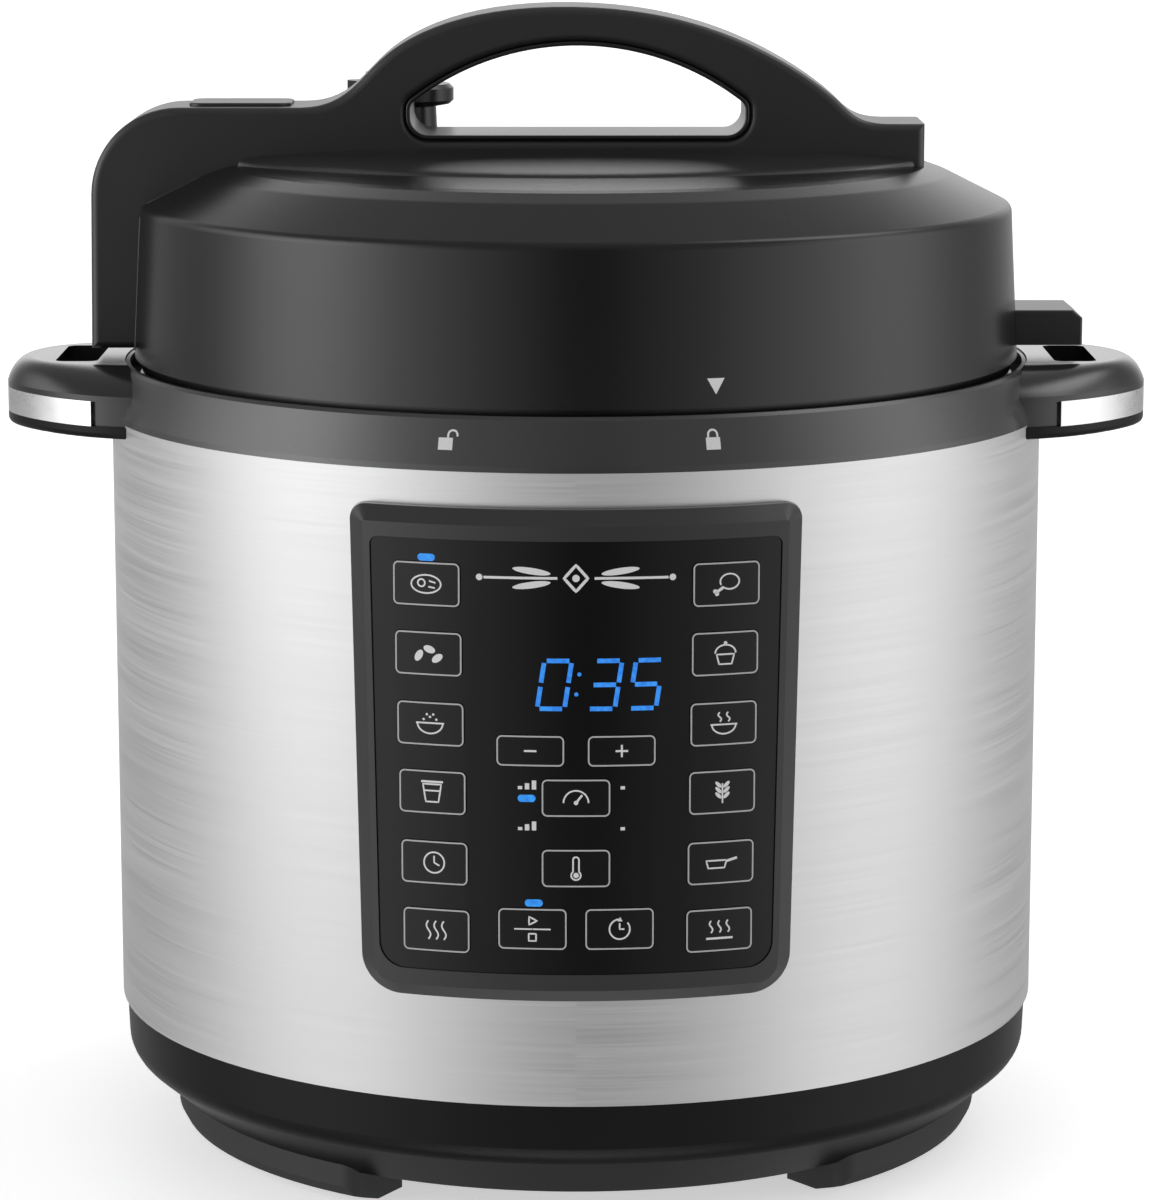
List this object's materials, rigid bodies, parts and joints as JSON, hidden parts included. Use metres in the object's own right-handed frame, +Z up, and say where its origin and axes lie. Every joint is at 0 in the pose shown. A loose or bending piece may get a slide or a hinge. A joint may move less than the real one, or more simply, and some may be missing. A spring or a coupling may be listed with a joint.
{
  "type": "electric pressure cooker",
  "caption": "Round countertop electric pressure cooker: steel body, curved key panel, turn-and-lift lid with arched handle, steam valve, cooking pot and two side handles.",
  "frame": {"origin": "on the cooker's upright axis, on the plane that its feet stand on", "axes": "+Z up along the cooker's upright axis; -Y out of the control panel; +X to the right of someone facing the panel"},
  "size_m": [0.34, 0.2945, 0.3367],
  "materials": {
    "black_base": "fine moulded texture",
    "rubber": "matt",
    "steel_sleeve": "brushed round the body",
    "collar": "satin",
    "gloss_black": "gloss",
    "satin_black": "satin gloss",
    "trim": "brushed, bright",
    "steel": "pressed sheet",
    "pot_steel": "brushed",
    "aluminium": "cast, fine",
    "element": "oxidised",
    "bezel": "satin",
    "overlay": "gloss",
    "key": "gloss",
    "light": "lit",
    "board": "circuit board",
    "component": "moulded",
    "membrane": "film",
    "contact": "plated",
    "spring_steel": "drawn wire",
    "silicone": "translucent",
    "cup": "clear",
    "screw": "plated"
  },
  "bodies": {
    "housing": {"base_shell": "black_base", "bottom_cover": "black_base", "base_screws": "screw", "foot_pads": "rubber", "steel_sleeve": "steel_sleeve", "top_collar": "collar", "handle_right": "gloss_black", "handle_left": "gloss_black", "handle_trims": "trim", "handle_covers": "black_base", "lock_ring": "steel", "outer_pot": "steel", "inner_pot": "pot_steel", "heating_plate": "aluminium", "heating_element": "element", "sensor_spring": "spring_steel", "thermal_fuse": "component", "pressure_switch": "component", "power_board": "board", "power_board_parts": "component", "power_inlet": "black_base", "inlet_pins": "contact", "panel_bezel": "bezel", "panel_overlay": "overlay", "indicator_lights": "light", "display_module": "component", "key_switches": "membrane", "control_board": "board", "cup_bracket": "black_base"},
    "seal": {"sealing_ring": "silicone"},
    "lid": {"lid_shell": "satin_black", "lid_handle": "satin_black", "handle_liner": "satin_black", "lid_plate": "steel", "lid_screws": "screw", "gasket_rack": "spring_steel", "steam_valve_stem": "steel", "anti_block_shield": "steel"},
    "steam_valve": {"steam_valve_knob": "satin_black"},
    "float": {"float_valve": "steel"},
    "cup": {"drip_cup": "cup"},
    "sensor": {"temperature_sensor": "aluminium"},
    "key_meat": {"key_meat": "key"},
    "key_poultry": {"key_poultry": "key"},
    "key_beans": {"key_beans": "key"},
    "key_dessert": {"key_dessert": "key"},
    "key_rice": {"key_rice": "key"},
    "key_soup": {"key_soup": "key"},
    "key_yogurt": {"key_yogurt": "key"},
    "key_grain": {"key_grain": "key"},
    "key_slow": {"key_slow": "key"},
    "key_saute": {"key_saute": "key"},
    "key_steam": {"key_steam": "key"},
    "key_warm": {"key_warm": "key"},
    "key_minus": {"key_minus": "key"},
    "key_plus": {"key_plus": "key"},
    "key_pressure": {"key_pressure": "key"},
    "key_temperature": {"key_temperature": "key"},
    "key_start": {"key_start": "key"},
    "key_delay": {"key_delay": "key"}
  },
  "joints": [
    {"name": "lid_lift", "type": "slide", "parent": "housing", "child": "seal", "axis": [0, 0, 1], "range_m": [0, 0.2]},
    {"name": "lid_turn", "type": "hinge", "parent": "seal", "child": "lid", "pos_m": [0, 0, 0.23], "axis": [0, 0, 1], "range_deg": [-31, 0]},
    {"name": "steam_valve_turn", "type": "hinge", "parent": "lid", "child": "steam_valve", "pos_m": [-0.052, 0.047, 0.3], "axis": [0, 0, 1], "range_deg": [0, 40]},
    {"name": "float_rise", "type": "slide", "parent": "lid", "child": "float", "axis": [0, 0, 1], "range_m": [0, 0.005]},
    {"name": "drip_cup_slide", "type": "slide", "parent": "housing", "child": "cup", "axis": [0, 1, 0], "range_m": [0, 0.045]},
    {"name": "sensor_press", "type": "slide", "parent": "housing", "child": "sensor", "axis": [0, 0, 1], "range_m": [-0.0015, 0], "stiffness_N_per_m": 1500, "springref_m": 0.002, "deforming": ["sensor_spring"]},
    {"name": "key_meat_press", "type": "slide", "parent": "housing", "child": "key_meat", "axis": [0.2788, 0.9603, 0], "range_m": [0, 0.0005], "stiffness_N_per_m": 800, "springref_m": -0.0005},
    {"name": "key_poultry_press", "type": "slide", "parent": "housing", "child": "key_poultry", "axis": [-0.2805, 0.9599, 0], "range_m": [0, 0.0005], "stiffness_N_per_m": 800, "springref_m": -0.0005},
    {"name": "key_beans_press", "type": "slide", "parent": "housing", "child": "key_beans", "axis": [0.2758, 0.9612, 0], "range_m": [0, 0.0005], "stiffness_N_per_m": 800, "springref_m": -0.0005},
    {"name": "key_dessert_press", "type": "slide", "parent": "housing", "child": "key_dessert", "axis": [-0.2785, 0.9604, 0], "range_m": [0, 0.0005], "stiffness_N_per_m": 800, "springref_m": -0.0005},
    {"name": "key_rice_press", "type": "slide", "parent": "housing", "child": "key_rice", "axis": [0.2727, 0.9621, 0], "range_m": [0, 0.0005], "stiffness_N_per_m": 800, "springref_m": -0.0005},
    {"name": "key_soup_press", "type": "slide", "parent": "housing", "child": "key_soup", "axis": [-0.2765, 0.961, 0], "range_m": [0, 0.0005], "stiffness_N_per_m": 800, "springref_m": -0.0005},
    {"name": "key_yogurt_press", "type": "slide", "parent": "housing", "child": "key_yogurt", "axis": [0.2697, 0.963, 0], "range_m": [0, 0.0005], "stiffness_N_per_m": 800, "springref_m": -0.0005},
    {"name": "key_grain_press", "type": "slide", "parent": "housing", "child": "key_grain", "axis": [-0.2745, 0.9616, 0], "range_m": [0, 0.0005], "stiffness_N_per_m": 800, "springref_m": -0.0005},
    {"name": "key_slow_press", "type": "slide", "parent": "housing", "child": "key_slow", "axis": [0.2666, 0.9638, 0], "range_m": [0, 0.0005], "stiffness_N_per_m": 800, "springref_m": -0.0005},
    {"name": "key_saute_press", "type": "slide", "parent": "housing", "child": "key_saute", "axis": [-0.2724, 0.9622, 0], "range_m": [0, 0.0005], "stiffness_N_per_m": 800, "springref_m": -0.0005},
    {"name": "key_steam_press", "type": "slide", "parent": "housing", "child": "key_steam", "axis": [0.2635, 0.9646, 0], "range_m": [0, 0.0005], "stiffness_N_per_m": 800, "springref_m": -0.0005},
    {"name": "key_warm_press", "type": "slide", "parent": "housing", "child": "key_warm", "axis": [-0.2704, 0.9627, 0], "range_m": [0, 0.0005], "stiffness_N_per_m": 800, "springref_m": -0.0005},
    {"name": "key_minus_press", "type": "slide", "parent": "housing", "child": "key_minus", "axis": [0.0854, 0.9963, 0], "range_m": [0, 0.0005], "stiffness_N_per_m": 800, "springref_m": -0.0005},
    {"name": "key_plus_press", "type": "slide", "parent": "housing", "child": "key_plus", "axis": [-0.0854, 0.9963, 0], "range_m": [0, 0.0005], "stiffness_N_per_m": 800, "springref_m": -0.0005},
    {"name": "key_pressure_press", "type": "slide", "parent": "housing", "child": "key_pressure", "axis": [0, 1, 0], "range_m": [0, 0.0005], "stiffness_N_per_m": 800, "springref_m": -0.0005},
    {"name": "key_temperature_press", "type": "slide", "parent": "housing", "child": "key_temperature", "axis": [0, 1, 0], "range_m": [0, 0.0005], "stiffness_N_per_m": 800, "springref_m": -0.0005},
    {"name": "key_start_press", "type": "slide", "parent": "housing", "child": "key_start", "axis": [0.0819, 0.9966, 0], "range_m": [0, 0.0005], "stiffness_N_per_m": 800, "springref_m": -0.0005},
    {"name": "key_delay_press", "type": "slide", "parent": "housing", "child": "key_delay", "axis": [-0.0819, 0.9966, 0], "range_m": [0, 0.0005], "stiffness_N_per_m": 800, "springref_m": -0.0005}
  ]
}
